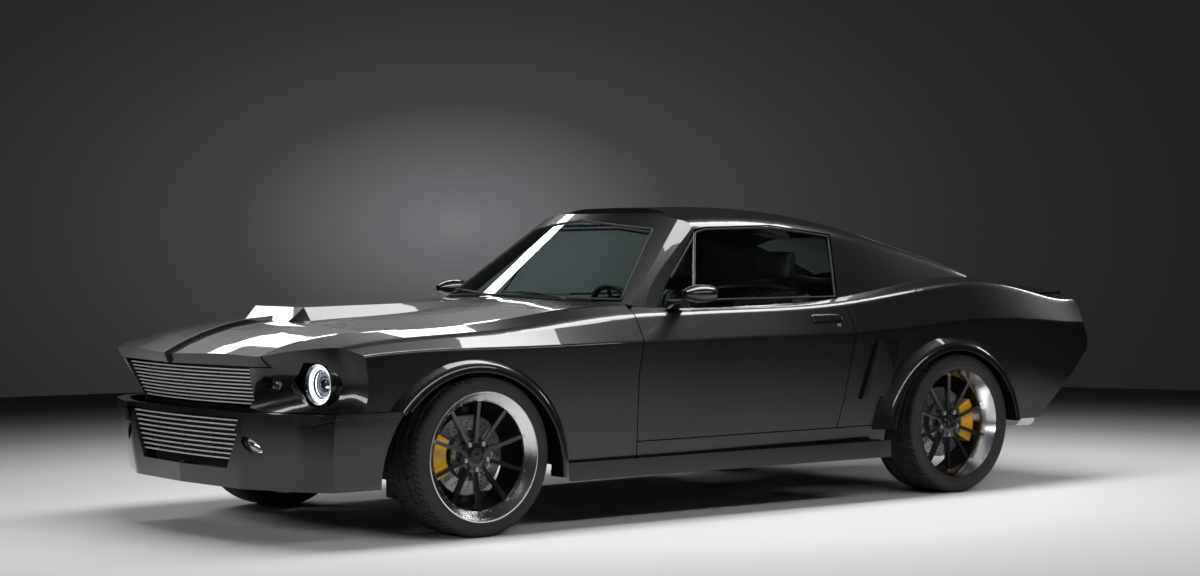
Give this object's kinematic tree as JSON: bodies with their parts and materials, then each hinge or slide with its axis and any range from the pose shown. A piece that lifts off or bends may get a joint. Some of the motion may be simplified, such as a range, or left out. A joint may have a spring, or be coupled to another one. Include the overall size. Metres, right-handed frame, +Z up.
{
  "type": "two-door fastback muscle car",
  "caption": "Low two-door fastback coupe in black with flared arches, slatted nose, ring headlamps, opening doors, hood and trunk, steered front wheels and turning wheels.",
  "frame": {"origin": "on the ground, at the middle of the car's length and width", "axes": "+X towards the nose, +Y to the car's left, +Z up"},
  "size_m": [4.8051, 2.0186, 1.3643],
  "materials": {
    "paint": "deep gloss black lacquer",
    "glass": "clear, faintly green",
    "tyre": "matt sidewall",
    "wheel": "gloss black with a polished lip",
    "steel": "turned and brushed",
    "caliper": "gold gloss",
    "underbody": "satin black",
    "cast": "as cast",
    "bright_bar": "brushed",
    "lamp": "clear lens over a bright bowl",
    "red_lamp": "red lens",
    "leather": "black, fine grain",
    "trim": "fine grain"
  },
  "bodies": {
    "body": {"front_fenders": "paint", "grille_surround": "paint", "front_bumper": "paint", "cowl": "paint", "roof": "paint", "windscreen": "glass", "rear_window": "glass", "quarter_panels": "paint", "tail_panel": "paint", "rear_bumper": "paint", "rockers": "paint", "side_skirts": "paint", "tail_lamps": "red_lamp", "headlamps": "lamp", "upper_grille": "bright_bar", "lower_grille": "bright_bar", "floor_pan": "underbody", "firewall": "underbody", "wheelhouses": "underbody", "engine": "cast", "radiator": "underbody", "front_suspension": "underbody", "rear_axle": "underbody", "rear_calipers": "caliper", "exhausts": "steel", "front_seats": "leather", "seat_rails": "underbody", "rear_seat": "leather", "dashboard": "trim", "steering_column": "trim"},
    "door_left": {"door_left": "paint", "door_glass_left": "glass", "mirror_left": "paint"},
    "door_right": {"door_right": "paint", "door_glass_right": "glass", "mirror_right": "paint"},
    "hood": {"hood": "paint"},
    "trunk_lid": {"trunk_lid": "paint"},
    "steering_wheel": {"steering_wheel": "trim"},
    "knuckle_left": {"knuckle_left": "cast", "front_caliper_left": "caliper"},
    "knuckle_right": {"knuckle_right": "cast", "front_caliper_right": "caliper"},
    "wheel_front_left": {"tyre_front_left": "tyre", "wheel_front_left": "wheel", "brake_disc_front_left": "steel"},
    "wheel_front_right": {"tyre_front_right": "tyre", "wheel_front_right": "wheel", "brake_disc_front_right": "steel"},
    "wheel_rear_left": {"tyre_rear_left": "tyre", "wheel_rear_left": "wheel", "brake_disc_rear_left": "steel"},
    "wheel_rear_right": {"tyre_rear_right": "tyre", "wheel_rear_right": "wheel", "brake_disc_rear_right": "steel"}
  },
  "joints": [
    {"name": "door_left_hinge", "type": "hinge", "parent": "body", "child": "door_left", "pos_m": [0.651, 0.887, 0.6], "axis": [0, 0, -1], "range_deg": [0, 65]},
    {"name": "door_right_hinge", "type": "hinge", "parent": "body", "child": "door_right", "pos_m": [0.651, -0.887, 0.6], "axis": [0, 0, 1], "range_deg": [0, 65]},
    {"name": "hood_hinge", "type": "hinge", "parent": "body", "child": "hood", "pos_m": [0.858, 0, 0.964], "axis": [0, -1, 0], "range_deg": [0, 50]},
    {"name": "trunk_hinge", "type": "hinge", "parent": "body", "child": "trunk_lid", "pos_m": [-1.793, 0, 1.006], "axis": [0, 1, 0], "range_deg": [0, 60]},
    {"name": "steer_left", "type": "hinge", "parent": "body", "child": "knuckle_left", "pos_m": [1.44, 0.737, 0.33], "axis": [0, 0, 1], "range_deg": [-30, 30]},
    {"name": "steer_right", "type": "hinge", "parent": "body", "child": "knuckle_right", "pos_m": [1.44, -0.737, 0.33], "axis": [0, 0, 1], "range_deg": [-30, 30]},
    {"name": "steering_wheel_turn", "type": "hinge", "parent": "body", "child": "steering_wheel", "pos_m": [0.32, 0.37, 0.835], "axis": [-0.9135, 0, 0.4067], "range_deg": [-420, 420]},
    {"name": "front_left_spin", "type": "hinge", "parent": "knuckle_left", "child": "wheel_front_left", "pos_m": [1.44, 0.777, 0.33], "axis": [0, 1, 0], "continuous": true},
    {"name": "front_right_spin", "type": "hinge", "parent": "knuckle_right", "child": "wheel_front_right", "pos_m": [1.44, -0.777, 0.33], "axis": [0, 1, 0], "continuous": true},
    {"name": "rear_left_spin", "type": "hinge", "parent": "body", "child": "wheel_rear_left", "pos_m": [-1.303, 0.787, 0.33], "axis": [0, 1, 0], "continuous": true},
    {"name": "rear_right_spin", "type": "hinge", "parent": "body", "child": "wheel_rear_right", "pos_m": [-1.303, -0.787, 0.33], "axis": [0, 1, 0], "continuous": true}
  ],
  "couplings": [
    {"joint": "steer_right", "follows": "steer_left", "ratio": 1},
    {"joint": "steering_wheel_turn", "follows": "steer_left", "ratio": 14}
  ]
}
